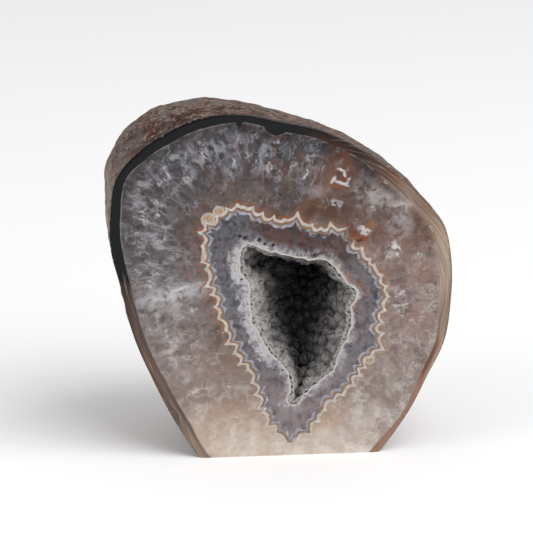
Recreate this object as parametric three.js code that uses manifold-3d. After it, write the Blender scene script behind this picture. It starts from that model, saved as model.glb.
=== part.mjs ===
// A free-standing agate geode: the front of a nodule cut away and polished, its underside sawn flat
// so that it stands, and a hollow in the middle lined with a crust of quartz crystals.
// Millimetres, +Z up, the polished face towards -Y, the origin under the middle of the stone.
import * as THREE from 'three';
import { mergeVertices } from 'three/addons/utils/BufferGeometryUtils.js';
import Module from 'manifold-3d';

const wasm = await Module();
wasm.setup();

// The nodule, behind its polished face
const DEPTH = 62; // polished face to the back of the rind
const WIDEST = 20; // depth at which the rind stops spreading and starts to close
const BACK_POWER = 2.2; // roundness of the back, where 2 is an ellipse
const BACK_TIP = { x: -3, z: 53 }; // the point at which the back closes
const BACK_RADIUS = 54; // the outline grows rounder towards the back, to a circle of this radius
const BEVEL_DROP = 0.5; // how far a bevel falls back for each millimetre of its width
const LUMP_HEIGHT = 1; // lumps and dents of the rind
const LUMP_BIAS = 0.3; // how far they lean towards dents
const LUMP_FADE = 9; // depth over which they grow out of the clean polished edge

// The hollow and its crystals. Its walls close on a crease, deepest at the top.
const CREASE_TOP = new THREE.Vector3(11, 35, 55);
const CREASE_BEND = new THREE.Vector3(1, 32, 44);
const CREASE_FOOT = new THREE.Vector3(5, 15, 21);
const WALL_POWER = 1.3; // 2 is an elliptical wall, and 1 a straight slope
const CRUST = 1.8; // thickness of the crystal crust between its crystals
const GAP = 0.3; // clearance between the crust and the stone
const CLEAR = 2; // how far the cut for the hollow starts in front of the face
const CRYSTAL_HEIGHT = { low: 1, high: 2.2 };

// How finely the solids are faceted
const RIND_COLUMNS = 104;
const RIND_ROWS = 16;
const ROW_EASE = 1.15; // above 1, rows of the rind gather towards the face
const HOLLOW_COLUMNS = 72; // a multiple of 3, because every third point is the tip of a crystal
const HOLLOW_ROWS = 7;
const CRYSTAL_ROWS = 21;
const LAST_RING = 0.97; // share of the way at which the far end is closed

const BASE_CUT = 200; // side of the block that saws the underside off

// Spokes from the hollow to the edge of the polished face, clockwise from the middle of the left side.
// Each has [x, z] where it meets the rim of the hollow and [x, z] at the edge of the face, then the
// width of the polished bevel there and how far the rind behind it spreads past the edge.
// The lowest spokes end under the base, where the nodule went on before it was sawn.
const SPOKES = [
  { rim: [-12.5, 56], edge: [-53, 58], bevel: 0.6, spread: 0.3 },
  { rim: [-15, 62], edge: [-55.5, 68.5], bevel: 0.5, spread: 0.1 },
  { rim: [-15, 66], edge: [-55.5, 80], bevel: 0.5, spread: 1.1 },
  { rim: [-14.5, 68], edge: [-53.5, 91], bevel: 0.5, spread: 2.8 },
  { rim: [-14, 69], edge: [-47, 99], bevel: 0.5, spread: 4 },
  { rim: [-13.5, 69.5], edge: [-38, 105], bevel: 0.5, spread: 5 },
  { rim: [-12.5, 69.5], edge: [-27.5, 109.5], bevel: 0.5, spread: 2.5 },
  { rim: [-11, 69], edge: [-14, 110.5], bevel: 0.5, spread: 0.6 },
  { rim: [-7, 67], edge: [-2, 108], bevel: 0.5, spread: 0 },
  { rim: [-1, 65.5], edge: [10.5, 105], bevel: 0.5, spread: -1.2 },
  { rim: [5.5, 64], edge: [22.5, 99], bevel: 0.6, spread: 0 },
  { rim: [12, 63.5], edge: [33.5, 91.5], bevel: 1, spread: 0 },
  { rim: [14.5, 60.5], edge: [42.5, 82.5], bevel: 2.2, spread: 0.3 },
  { rim: [16.5, 58], edge: [49.5, 73.5], bevel: 3, spread: 0.8 },
  { rim: [19, 56], edge: [52, 62], bevel: 3.2, spread: 1 },
  { rim: [21.5, 53], edge: [52, 49.5], bevel: 3, spread: 1 },
  { rim: [19.5, 48], edge: [50, 36], bevel: 2.2, spread: 1 },
  { rim: [19.5, 41.5], edge: [44.5, 24.5], bevel: 1.4, spread: 1 },
  { rim: [17, 35], edge: [39, 13.5], bevel: 1.4, spread: 0.8 },
  { rim: [14, 27.5], edge: [31, 2], bevel: 1.2, spread: 0.6 },
  { rim: [9, 23.5], edge: [20.5, -10.5], bevel: 0.8, spread: 0.6 },
  { rim: [5.5, 20], edge: [9.5, -17], bevel: 0.8, spread: 0.6 },
  { rim: [3, 17], edge: [-2.5, -19], bevel: 0.8, spread: 0.6 },
  { rim: [0.5, 17], edge: [-15.5, -13.5], bevel: 0.8, spread: 0.6 },
  { rim: [1, 22.5], edge: [-27, -1.5], bevel: 1.4, spread: 0.6 },
  { rim: [-1, 29], edge: [-35.5, 11.5], bevel: 1.4, spread: 0.6 },
  { rim: [-7, 36], edge: [-42, 24.5], bevel: 0.8, spread: 0.8 },
  { rim: [-11, 45], edge: [-48.5, 40], bevel: 0.6, spread: 0.6 },
];

// A closed smooth line through one [x, z] of each spoke, drawn in the plane of the polished face.
function outline(points) {
  return new THREE.CatmullRomCurve3(points.map(([x, z]) => new THREE.Vector3(x, 0, z)), true);
}

const RIM = outline(SPOKES.map((spoke) => spoke.rim));
const EDGE = outline(SPOKES.map((spoke) => spoke.edge));
const BEVEL = smoothed(SPOKES.map((spoke) => spoke.bevel));
const SPREAD = smoothed(SPOKES.map((spoke) => spoke.spread));
const CREASE = new THREE.QuadraticBezierCurve3(CREASE_TOP, CREASE_BEND, CREASE_FOOT);

// One value of each spoke, as a function that passes smoothly from spoke to spoke.
function smoothed(values) {
  const points = values.map((value) => new THREE.Vector3(value, 0, 0));
  const curve = new THREE.CatmullRomCurve3(points, true, 'catmullrom');
  return (share) => curve.getPoint(share).x;
}

// The direction out of a clockwise outline, in the plane of the face.
function outward(curve, share) {
  const along = curve.getTangent(share);
  return new THREE.Vector3(-along.z, 0, along.x);
}

// Lumps and dents of a natural surface, mostly from -1 to 1.
function swelling(p) {
  const broad = Math.sin(p.x / 7.3 + 1.1) * Math.sin(p.z / 8.9 + 0.4) * Math.sin(p.y / 8.1 + 2);
  const small = Math.sin(p.x / 2.9 + 0.5) * Math.sin(p.z / 3.3 + 1.9) * Math.sin(p.y / 3.1 + 0.7);
  return 0.4 * broad + 0.4 * small - LUMP_BIAS;
}

// Rings of points joined into one closed solid, with a point in the middle of each end.
function loft(rings) {
  const columns = rings[0].length;
  const points = rings.flat();
  const triangles = [];
  for (let row = 0; row < rings.length - 1; row++) {
    for (let i = 0; i < columns; i++) {
      const next = (i + 1) % columns;
      const [a, b] = [row * columns + i, row * columns + next];
      const [c, d] = [b + columns, a + columns];
      triangles.push(a, b, d, b, c, d);
    }
  }
  const last = (rings.length - 1) * columns;
  const front = points.push(middle(rings[0])) - 1;
  const back = points.push(middle(rings.at(-1))) - 1;
  for (let i = 0; i < columns; i++) {
    const next = (i + 1) % columns;
    triangles.push(front, next, i, back, last + i, last + next);
  }
  const vertProperties = new Float32Array(points.flatMap((p) => [p.x, p.y, p.z]));
  const triVerts = new Uint32Array(triangles);
  return new wasm.Manifold(new wasm.Mesh({ numProp: 3, vertProperties, triVerts }));
}

function middle(ring) {
  return ring.reduce((sum, p) => sum.add(p), new THREE.Vector3()).divideScalar(ring.length);
}

function solidFromGeometry(geometry) {
  const bare = geometry.clone();
  bare.deleteAttribute('normal');
  bare.deleteAttribute('uv');
  const merged = mergeVertices(bare);
  const vertProperties = merged.attributes.position.array;
  const triVerts = new Uint32Array(merged.index.array);
  return new wasm.Manifold(new wasm.Mesh({ numProp: 3, vertProperties, triVerts }));
}

function geometryFromSolid(solid) {
  const { vertProperties, triVerts } = solid.getMesh();
  const geometry = new THREE.BufferGeometry();
  geometry.setAttribute('position', new THREE.BufferAttribute(vertProperties, 3));
  geometry.setIndex(new THREE.BufferAttribute(triVerts, 1));
  geometry.computeVertexNormals();
  return geometry;
}

// One ring of the nodule at a depth behind the face, drawn in by a share of the bevel's width.
function noduleRing(depth, inset) {
  const spreading = THREE.MathUtils.smoothstep(depth, 0, WIDEST);
  const closing = Math.max(0, (depth - WIDEST) / (DEPTH - WIDEST));
  const size = (1 - closing ** BACK_POWER) ** (1 / BACK_POWER);
  const lumps = LUMP_HEIGHT * THREE.MathUtils.smoothstep(depth, 0, LUMP_FADE);
  const tip = new THREE.Vector3(BACK_TIP.x, 0, BACK_TIP.z);
  return Array.from({ length: RIND_COLUMNS }, (_, i) => {
    const share = i / RIND_COLUMNS;
    const bevel = BEVEL(share);
    const out = outward(EDGE, share);
    const spread = SPREAD(share) * spreading - inset * bevel;
    const p = EDGE.getPoint(share).addScaledVector(out, spread);
    p.sub(tip);
    p.lerp(p.clone().setLength(BACK_RADIUS), closing ** 2).multiplyScalar(size).add(tip);
    p.y = depth + (1 - inset) * bevel * BEVEL_DROP * (1 - depth / DEPTH);
    const lump = lumps * swelling(p);
    p.addScaledVector(out, lump * size);
    p.y += lump * closing;
    return p;
  });
}

// The nodule before the hollow is opened: the flat face, its bevel, and the rind back to the tip.
function makeNodule() {
  const turns = Array.from({ length: RIND_ROWS }, (_, row) => row / RIND_ROWS);
  const depths = [...turns, LAST_RING].map((turn) => DEPTH * Math.sin((turn * Math.PI) / 2) ** ROW_EASE);
  const block = new THREE.BoxGeometry(BASE_CUT, BASE_CUT, BASE_CUT).translate(0, 0, -BASE_CUT / 2);
  const rind = depths.map((depth) => noduleRing(depth, 0));
  return loft([noduleRing(0, 1), ...rind]).subtract(solidFromGeometry(block));
}

// A point on the wall of the hollow, which runs level from the rim to the crease. Turn is 0 at the rim
// and 1 at the crease, and grow moves the wall into the stone.
function hollowPoint(share, turn, grow) {
  const angle = (turn * Math.PI) / 2;
  const size = Math.cos(angle) ** (2 / WALL_POWER);
  const deep = Math.sin(angle) ** (2 / WALL_POWER);
  const p = RIM.getPoint(share);
  const drop = (CREASE_TOP.z - p.z) / (CREASE_TOP.z - CREASE_FOOT.z);
  const far = CREASE.getPoint(THREE.MathUtils.clamp(drop, 0, 1));
  p.addScaledVector(outward(RIM, share), grow);
  p.set((p.x - far.x) * size + far.x, deep * (far.y + grow), (p.z - far.z) * size + far.z);
  return p;
}

// One ring of the wall of the hollow, with its points evenly spaced round the rim.
function hollowRing(turn, slide, growAt) {
  return Array.from({ length: HOLLOW_COLUMNS }, (_, i) => {
    const round = THREE.MathUtils.euclideanModulo((i + slide) / HOLLOW_COLUMNS, 1);
    return hollowPoint(RIM.getUtoTmapping(round), turn, growAt(i));
  });
}

// The plain wall of the hollow, moved into the stone.
function plainWall(grow) {
  const turns = Array.from({ length: HOLLOW_ROWS }, (_, row) => row / HOLLOW_ROWS);
  return [...turns, LAST_RING].map((turn) => hollowRing(turn, 0, () => grow));
}

// The wall of crystals: each is a six-sided point, set in rows that slide half a step each time.
// They vary in height, and stop short of the rim, which was cut flush with the face.
function crystalWall() {
  const rows = Array.from({ length: CRYSTAL_ROWS }, (_, row) => row);
  const wall = rows.map((row) => hollowRing(row / CRYSTAL_ROWS, -row / 2, (i) => {
    const chance = (i * 0.618 + row * 0.382) % 1;
    const height = THREE.MathUtils.lerp(CRYSTAL_HEIGHT.low, CRYSTAL_HEIGHT.high, chance);
    return row > 0 && (i + row) % 3 === 0 ? -height : 0;
  }));
  return [...wall, hollowRing(LAST_RING, -CRYSTAL_ROWS / 2, () => 0)];
}

// The hollow is cut out of the nodule from in front of the face.
function makeStone() {
  const wall = plainWall(CRUST);
  const mouth = wall[0].map((p) => new THREE.Vector3(p.x, -CLEAR, p.z));
  return makeNodule().subtract(loft([mouth, ...wall]));
}

// The crust is one closed cup: its crystals from the crease to the rim, then its back.
function makeCrust() {
  return loft([...crystalWall().reverse(), ...plainWall(CRUST - GAP)]);
}

const agateMaterial = new THREE.MeshStandardMaterial({ color: 0x928580, roughness: 0.18, metalness: 0 });
const crystalMaterial = new THREE.MeshStandardMaterial({ color: 0x77746f, roughness: 0.45, metalness: 0 });

function makeMesh(name, solid, material) {
  const mesh = new THREE.Mesh(geometryFromSolid(solid), material);
  mesh.name = name;
  return mesh;
}

const agate = new THREE.Group();
agate.add(makeMesh('agate_stone', makeStone(), agateMaterial));
agate.add(makeMesh('crystal_crust', makeCrust(), crystalMaterial));

// The origin goes under the middle of the stone, on the surface that it stands on.
const extent = new THREE.Box3().setFromObject(agate);
const centre = extent.getCenter(new THREE.Vector3());
agate.position.set(-centre.x, -centre.y, 0);

export default agate;
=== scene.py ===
"""A free-standing agate geode: polished face with fortification lines, rough rind, sawn base,
and a hollow lined with grey quartz crystals.

Shapes are worked out in millimetres, in the plane of the polished face: x to the right, y back into
the stone and z up from the base. They are moved into the shared frame, in metres, as they are made.
"""
import math

import bpy
import numpy as np
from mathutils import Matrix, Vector


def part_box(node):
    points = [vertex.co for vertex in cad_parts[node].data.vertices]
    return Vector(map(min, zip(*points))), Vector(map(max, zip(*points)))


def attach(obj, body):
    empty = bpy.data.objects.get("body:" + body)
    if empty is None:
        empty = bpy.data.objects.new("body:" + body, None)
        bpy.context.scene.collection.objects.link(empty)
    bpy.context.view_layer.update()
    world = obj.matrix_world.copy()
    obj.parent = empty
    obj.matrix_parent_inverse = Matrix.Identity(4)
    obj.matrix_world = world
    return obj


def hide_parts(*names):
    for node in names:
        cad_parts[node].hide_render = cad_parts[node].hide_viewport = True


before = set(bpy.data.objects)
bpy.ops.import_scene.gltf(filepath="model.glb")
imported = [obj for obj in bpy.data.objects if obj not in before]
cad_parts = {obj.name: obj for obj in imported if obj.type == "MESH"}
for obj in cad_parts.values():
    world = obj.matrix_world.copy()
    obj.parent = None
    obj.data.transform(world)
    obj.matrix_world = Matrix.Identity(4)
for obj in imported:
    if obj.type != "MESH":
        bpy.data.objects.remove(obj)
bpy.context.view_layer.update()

MM = 0.001
SEED = 7
# The share of a seen brightness that is the stone's own, in the light of this scene
LIT = 0.8

# The nodule, behind its polished face
DEPTH = 62
WIDEST = 20
BACK_POWER = 2.2
BACK_TIP = np.array([-3.0, 53.0])
BACK_RADIUS = 54
BEVEL_DROP = 0.5
STRAIGHT_BELOW = 12
LUMP_HEIGHT = 1
LUMP_BIAS = 0.3
LUMP_FADE = 9
# The lumps' share of the height, then the size and the start of their waves along x, y and z
LUMPS = [(0.4, (7.3, 8.1, 8.9), (1.1, 2, 0.4)), (0.4, (2.9, 3.1, 3.3), (0.5, 0.7, 1.9))]
ROW_EASE = 1.15
RELIEF_FADE = 2.2
GROOVE_SHIFT = 9
SHARP_ANGLE = 58

# The hollow and its crust
CREASE = np.array([[11.0, 35.0, 55.0], [1.0, 32.0, 44.0], [5.0, 15.0, 21.0]])
WALL_POWER = 1.3
CRUST = 1.8
GAP = 0.3
CAD_COLUMNS = 72
RIM_WOBBLE = ((5.0, 0.9), (2.1, 0.8), (0.9, 0.4))

# The fortification lines: how wide and how high their broad arches, cusps and beads are
ARCH = (8.5, 1.2)
CUSP = (3.9, 2.1)
BEAD = (2.6, 0.8)
SPIKE_HEIGHT = 1.2
KNOT_STRAY = 0.33
LOWEST_ARCH = 0.3
LINE_WIDTH = 1
BEAD_GAP = 1.1
# How far behind the face its marks are measured, and how far off all other places count
MARKS_DEPTH = 2.5
FAR = 9.0
FLOW_RADIUS = 52

# The crystals
CLUSTER_SPACING = 2.9
RIM_SPACING = 1.2
CLUSTER_RADIUS = (1.7, 2.9)
CRYSTALS_EACH = 28
CRYSTAL_WIDTH = (0.65, 0.9)
CRYSTAL_SIDES = 6
TIP_SHARE = 0.4
FOOT_AT = 0.5
FOOT_WIDTH = 0.9
CUT_BACK = (0.03, 0.35)
# The clusters are tried at random places, a third of them close to the rim, where they are smaller
CLUSTER_TRIES = 9000
WALL_TURNS = (0.09, 0.985)
RIM_TURNS = (0.04, 0.08)
RIM_SIZE = 0.62
SUNK = 0.1
LENGTHS = (0.95, 1.05)
BALL_SHARE = 1.15
STRAY = 0.12

# How finely the surfaces are divided
COLUMNS = 560
INNER_ROWS = 22
OUTER_ROWS = 44
BAND_ROWS = 6
BEVEL_ROWS = 4
RIND_ROWS = 80
HOLLOW_ROWS = 6
CUP_ROWS = 16
CUP_BACK = (0.06, 0.2, 0.4, 0.6, 0.8)
RIM_ROWS = 4
LAST_RING = 0.985

# How many times its own size an ellipse of colour is measured out to, and how far it reaches back
SPAN = 2.5
ELLIPSE_DEPTH = 10000
# How deep light spreads in the crystals
GLOW_DEPTH = 0.8 * MM
# The height that the outer band's angles are measured round
BAND_MIDDLE = 57.6

# The camera, by the middle of the photograph's frame on the plane of the face
VIEW_AZIMUTH = -6.5
VIEW_ELEVATION = 14
VIEW_DISTANCE = 0.9
VIEW_MIDDLE = np.array([-6.9, 0.0, 62.0])
LENS = 194.5
SENSOR = 36

# The floor and the light, in metres and watts
FLOOR_HALF = 6
LIGHT_TARGET = (0, 0, 0.06)
KEY = {"place": (1.3, -1.5, 2.2), "size": 2.6, "power": 73}
SIDE = {"place": (-1.8, -1.0, 1.3), "size": 1.2, "power": 9}
ROUND_LIGHT = 0.54

# Spokes from the hollow to the edge of the polished face, clockwise from the middle of the left side.
# Each has [x, z] at the rim of the hollow, on the fortification line, at the inner side of the outer
# band and at the edge of the face, then the width of the bevel and how far the rind spreads behind.
SPOKES = [
    ([-12.5, 56], [-24, 57], [-49.5, 57.5], [-53, 58], 0.6, 0.3),
    ([-15, 62], [-26, 64], [-52, 68.5], [-55.5, 68.5], 0.5, 0.1),
    ([-15, 66], [-26.5, 71], [-52.5, 79.5], [-55.5, 80], 0.5, 1.1),
    ([-14.5, 68], [-25.6, 75], [-50.5, 91], [-53.5, 91], 0.5, 2.8),
    ([-14, 69], [-22.6, 77.2], [-44, 97.5], [-47, 99], 0.5, 4),
    ([-13.5, 69.5], [-20.2, 79.4], [-36, 102.5], [-38, 105], 0.5, 5),
    ([-12.5, 69.5], [-16.5, 81.5], [-26.5, 106.5], [-27.5, 109.5], 0.5, 2.5),
    ([-11, 69], [-10.5, 79.5], [-14, 108], [-14, 110.5], 0.5, 0.6),
    ([-7, 67], [-4, 76.5], [-2.5, 105], [-2, 108], 0.5, 0),
    ([-1, 65.5], [2.5, 77], [8.5, 102.5], [10.5, 105], 0.5, -1.2),
    ([5.5, 64], [9.5, 73.5], [19.5, 97.5], [22.5, 99], 0.6, 0),
    ([12, 63.5], [17, 73.5], [29.5, 90], [33.5, 91.5], 1, 0),
    ([14.5, 60.5], [21.5, 67], [38.5, 81.5], [42.5, 82.5], 2.2, 0.3),
    ([16.5, 58], [26.5, 62], [45.5, 73.5], [49.5, 73.5], 3, 0.8),
    ([19, 56], [29.5, 57], [48, 62], [52, 62], 3.2, 1),
    ([21.5, 53], [31, 50.5], [48, 49.5], [52, 49.5], 3, 1),
    ([19.5, 48], [28.5, 42.5], [47, 36.5], [50, 36], 2.2, 1),
    ([19.5, 41.5], [29, 35.5], [41.5, 24], [44.5, 24.5], 1.4, 1),
    ([17, 35], [24, 29.5], [37, 13.5], [39, 13.5], 1.4, 0.8),
    ([14, 27.5], [19, 21.5], [28, 2.5], [31, 2], 1.2, 0.6),
    ([9, 23.5], [11.5, 15.5], [18.5, -7.5], [20.5, -10.5], 0.8, 0.6),
    ([5.5, 20], [7.5, 9], [8.5, -13], [9.5, -17], 0.8, 0.6),
    ([3, 17], [0.5, 4.5], [-2.5, -15], [-2.5, -19], 0.8, 0.6),
    ([0.5, 17], [-5, 10], [-13.5, -10], [-15.5, -13.5], 0.8, 0.6),
    ([1, 22.5], [-8.5, 18], [-24, -1], [-27, -1.5], 1.4, 0.6),
    ([-1, 29], [-11, 25.5], [-32, 13], [-35.5, 11.5], 1.4, 0.6),
    ([-7, 36], [-15.5, 33.5], [-38.5, 25], [-42, 24.5], 0.8, 0.8),
    ([-11, 45], [-20.5, 44.5], [-45, 39.5], [-48.5, 40], 0.6, 0.6),
]
RIM, RING, BAND, EDGE = (np.array([spoke[k] for spoke in SPOKES], float) for k in range(4))
BEVEL, SPREAD = (np.array([spoke[k] for spoke in SPOKES], float) for k in (4, 5))

# Stains and clouds in the quartz: x and z of the middle, half the width and height, turn in degrees,
# softness of the side, colour and strength. FOLDED_LINE and LATE_STAINS have the same values.
STAINS = [
    (0.5, 88.5, 2.6, 3.2, -20, 0.45, "5c4a3d", 0.75),
    (6.5, 80.5, 5.2, 3.6, 25, 0.8, "704a34", 0.8),
    (7, 79.3, 2.4, 1.6, 30, 0.8, "4b3129", 0.85),
    (8, 83, 2, 1.4, 50, 0.7, "513a31", 0.8),
    (0.7, 81.5, 2.5, 3, 0, 0.8, "4c3d3b", 0.7),
    (3.5, 85.5, 2.6, 2, -20, 0.8, "3f3f43", 0.75),
    (9.7, 88.5, 1.6, 1.8, 0, 0.8, "33373c", 0.75),
    (12.5, 82.5, 1.3, 2.2, 10, 0.7, "44342f", 0.8),
    (13.5, 88, 5.5, 5, 0, 0.9, "77523d", 0.6),
    (17, 94, 5.4, 4, -30, 0.9, "6b422f", 0.85),
    (19, 84.5, 4.6, 3.6, -20, 0.9, "553c32", 0.8),
    (17.5, 79, 4.5, 5, 0, 0.8, "553c32", 0.85),
    (23, 77, 5, 3.5, 0, 0.9, "6b5045", 0.5),
    (33.2, 87.8, 3.6, 2.4, -42, 0.5, "765539", 0.95),
    (27, 73.5, 2.6, 1.8, 0, 0.8, "765039", 0.75),
    (33.5, 70.5, 1.2, 1.4, 0, 0.6, "6b432f", 0.8),
    (39.5, 79, 3.4, 2, -35, 0.7, "7d5a46", 0.8),
    (41.3, 75.5, 1.9, 4.5, 12, 0.6, "5e3f33", 0.85),
    (40.5, 69.8, 3, 1.5, 10, 0.7, "6c4c3e", 0.8),
    (46, 71.5, 1.4, 2.6, 5, 0.7, "7c5443", 0.7),
    (45.5, 77, 1.6, 3.4, -40, 0.7, "86604a", 0.6),
    (43, 59.8, 2, 0.9, 0, 0.7, "8a6450", 0.8),
    (42.3, 56, 3.3, 3.2, 0, 0.35, "87695c", 0.6),
    (40.5, 42.5, 4, 3.4, 15, 0.4, "977868", 0.55),
    (-35, 42, 1.1, 0.7, 0, 0.8, "8c6450", 0.8),
    (-20, 14, 9, 4.5, 20, 0.9, "a68b74", 0.6),
    (-24, 30, 9, 6, 0, 0.9, "8c7264", 0.45),
    (10, 10, 6, 2.5, 10, 0.9, "b08a66", 0.45),
    (15, 14, 3, 4, -20, 0.9, "b3906f", 0.35),
]
CLOUDS = [
    (8, 85.8, 3.6, 1.7, 10, 0.8, "a8989a", 0.6),
    (5.7, 92.2, 0.6, 1.5, 8, 0.4, "d8d4ce", 0.9),
    (2, 94.5, 0.9, 0.9, 0, 0.5, "b9b2ad", 0.8),
    (15.5, 82, 2, 0.8, -20, 0.5, "c9c9cb", 0.85),
    (26, 84.5, 5, 4.5, 0, 0.9, "a9a2a0", 0.5),
    (30, 83.6, 7, 2.4, -8, 0.8, "aea5a1", 0.6),
    (34.5, 67, 1.1, 2, 25, 0.6, "e4e0dc", 0.9),
    (32.2, 64.6, 1.6, 1.2, 30, 0.7, "cfcac8", 0.8),
    (35.6, 76, 3, 4.2, 10, 0.8, "a79f9f", 0.75),
    (36, 81, 3, 1.2, 0, 0.8, "c0bab6", 0.7),
    (-29.7, 49, 1.1, 0.5, 0, 0.5, "d6d2cf", 0.9),
    (-29.6, 22, 2.2, 0.8, 32, 0.5, "cfc8c2", 0.8),
    (-35.5, 54.3, 9.5, 2.4, 12, 0.8, "c4c2c6", 0.9),
    (-41, 50, 6, 2, 15, 0.9, "a8a4a4", 0.4),
]
# The white line that folds back on itself in the rusty corner
FOLDED_LINE = [
    (15.2, 89.2, 3.6, 2.6, -20, 0.5, "6f4a36", 0.75),
    (12.9, 88.8, 0.6, 1.8, -15, 0.6, "805436", 0.8),
    (15.6, 87, 2.2, 0.5, -15, 0.6, "805436", 0.8),
    (14.2, 89.4, 1.5, 0.6, 55, 0.5, "c6c2c3", 1),
    (16.6, 88, 2.3, 0.48, -22, 0.5, "c6c2c3", 1),
    (18.6, 88.6, 1.2, 0.4, 55, 0.5, "c6c2c3", 1),
    (16.5, 92.3, 1.3, 0.4, -15, 0.5, "c6c2c3", 1),
    (17.6, 90.8, 0.4, 1.2, 15, 0.5, "c6c2c3", 1),
    (15.4, 90.6, 0.8, 1.1, 0, 0.5, "4d4142", 0.9),
    (17.5, 89.4, 1.5, 0.6, -35, 0.6, "6f3d26", 0.9),
]
# Round eyes of banded quartz: x and z of the middle, half the width and height
EYES = [(-6, 93.7, 1.1, 1.8), (45.4, 73, 1, 1.1), (41.9, 64.6, 1.3, 0.9), (26.5, 79.5, 0.9, 0.8),
        (30.5, 88, 0.7, 0.7)]
# Sheaves of needles: how far apart their middles are, which pattern, and how much they darken and lighten
SHEAVES = [(7.5, 3, 0.5, 0.6), (3.2, 19, 0.28, 0.22)]
# Rounded pockets outside the fortification lines: x and z of the middle, half the width and height, turn
POCKETS = [(-25.2, 77.6, 2.1, 2, 20), (-21.8, 79.8, 1.9, 1.8, 30), (-25.8, 65.5, 1.5, 1.5, 0),
           (25.8, 31, 1.6, 1.8, 20), (-9.4, 16.4, 1.1, 1.2, 0), (27, 35.5, 1.7, 1.2, 0)]
# Small holes near the hollow: x, z and radius
HOLES = [(-15.3, 71.9, 0.7), (-13.7, 71.5, 0.8), (-9.2, 70.6, 0.8), (-7.4, 69.3, 0.7), (-4.8, 68.9, 0.6),
         (-14.7, 58, 0.35), (-1.7, 28.2, 0.4), (-0.5, 26.2, 0.35), (-4.2, 35.5, 0.4), (-3, 31.5, 0.35)]
# Stains that cover the fortification lines
LATE_STAINS = [
    (19.7, 72.2, 2.1, 3, 5, 0.4, "5e3a2b", 0.9),
    (22.6, 70.3, 2.4, 1.7, -15, 0.5, "7d4529", 0.95),
    (21.8, 69.6, 0.9, 0.6, 0, 0.6, "43221a", 0.9),
    (25.2, 74.4, 1.8, 1.6, 0, 0.7, "8b6144", 0.8),
    (23.4, 73.4, 0.8, 1.5, 15, 0.5, "c9c3bf", 0.95),
    (24.6, 72.6, 1.2, 0.7, -30, 0.5, "c9c3bf", 0.95),
    (23.7, 75.2, 1.1, 0.5, 10, 0.5, "5f4034", 0.8),
    (12.5, 78.5, 2.4, 2.4, 0, 0.8, "57392b", 0.7),
    (-13.2, 93.3, 1.6, 2.8, 5, 0.35, "4b3a36", 0.85),
    (-2, 93.5, 1.4, 1.7, 20, 0.6, "56362b", 0.85),
    (-4.5, 96.4, 0.7, 0.9, 0, 0.6, "472a24", 0.85),
]
# Where the dark band reaches into the quartz: x and z of the middle, half the width and height
NOTCHES = [(-4.4, 105, 2.4, 1.7), (-15.4, 107.2, 0.9, 0.8)]
# Cracks: x and z of both ends, half the width, colour and strength
CRACKS = [
    (-46.5, 52.2, -27, 57.4, 0.28, "cfcccc", 0.8),
    (-53.4, 57.6, -46.5, 57.9, 0.16, "8f7468", 0.9),
    (-53.4, 57.6, -36, 58.6, 0.14, "b5b1b2", 0.6),
    (35.5, 81.4, 43.5, 80.4, 0.3, "c8bfb8", 0.7),
    (31.5, 49.6, 38, 53.4, 0.5, "d3ccca", 0.9),
    (33, 48.3, 39.5, 48.2, 0.5, "d3ccca", 0.8),
    (34, 47.5, 37.5, 43.5, 0.5, "d3ccca", 0.8),
    (36.5, 46, 41, 41.5, 0.45, "c7bfbc", 0.7),
    (30.5, 37, 36, 35.5, 0.4, "c7bfbc", 0.7),
]


def smooth(value):
    """An eased step from 0 to 1."""
    t = np.clip(value, 0, 1)
    return t * t * (3 - 2 * t)


def unit(vectors):
    """The directions of some vectors, as vectors one long."""
    return vectors / np.maximum(np.linalg.norm(vectors, axis=-1, keepdims=True), 1e-9)


def neighbours(values, shares):
    """The four values around each share of the way round, and how far it is between the middle two."""
    place = (np.asarray(shares, float) % 1) * len(values)
    here = np.floor(place).astype(int)
    return [values[(here + k) % len(values)] for k in (-1, 0, 1, 2)], place - here


def bend(b, c, start, end, t):
    """The curve from b to c that sets out along start and arrives along end."""
    return b + start * t + (3 * (c - b) - 2 * start - end) * t ** 2 + (2 * (b - c) + start + end) * t ** 3


def loop(points, shares):
    """Places on a closed centripetal curve through the points, at shares of the way round."""
    (a, b, c, d), t = neighbours(points, shares)
    s0, s1, s2 = (((v - u) ** 2).sum(1)[:, None] ** 0.25 for u, v in ((a, b), (b, c), (c, d)))
    start = ((b - a) / s0 - (c - a) / (s0 + s1) + (c - b) / s1) * s1
    end = ((c - b) / s1 - (d - b) / (s1 + s2) + (d - c) / s2) * s1
    return bend(b, c, start, end, t[:, None])


def between(values, shares):
    """One value of each spoke, passing smoothly from spoke to spoke."""
    (a, b, c, d), t = neighbours(values, shares)
    return bend(b, c, (c - a) / 2, (d - b) / 2, t)


def outward(points, shares):
    """Directions out of a clockwise loop, in the plane of the face."""
    step = 1e-4
    along = unit(loop(points, np.asarray(shares) + step) - loop(points, np.asarray(shares) - step))
    return np.stack([-along[:, 1], along[:, 0]], 1)


def even_shares(points, count):
    """Shares of the way round a loop that are evenly spaced along it."""
    fine = np.linspace(0, 1, 2001)
    lengths = np.linalg.norm(np.diff(loop(points, fine), axis=0), axis=1)
    run = np.concatenate([[0], np.cumsum(lengths)])
    return np.interp(np.arange(count) / count * run[-1], run, fine)


def lattice(cells, seed):
    """A repeatable number from 0 to 1 for each cell of a lattice."""
    n = cells.astype(np.int64)
    mixed = n[..., 0] * 73856093 ^ n[..., 1] * 19349663 ^ n[..., 2] * 83492791 ^ seed * 2654435761
    mixed = (mixed ^ (mixed >> 13)) * 1274126177
    return ((mixed ^ (mixed >> 16)) & 0xFFFFFF) / 0xFFFFFF


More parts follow.
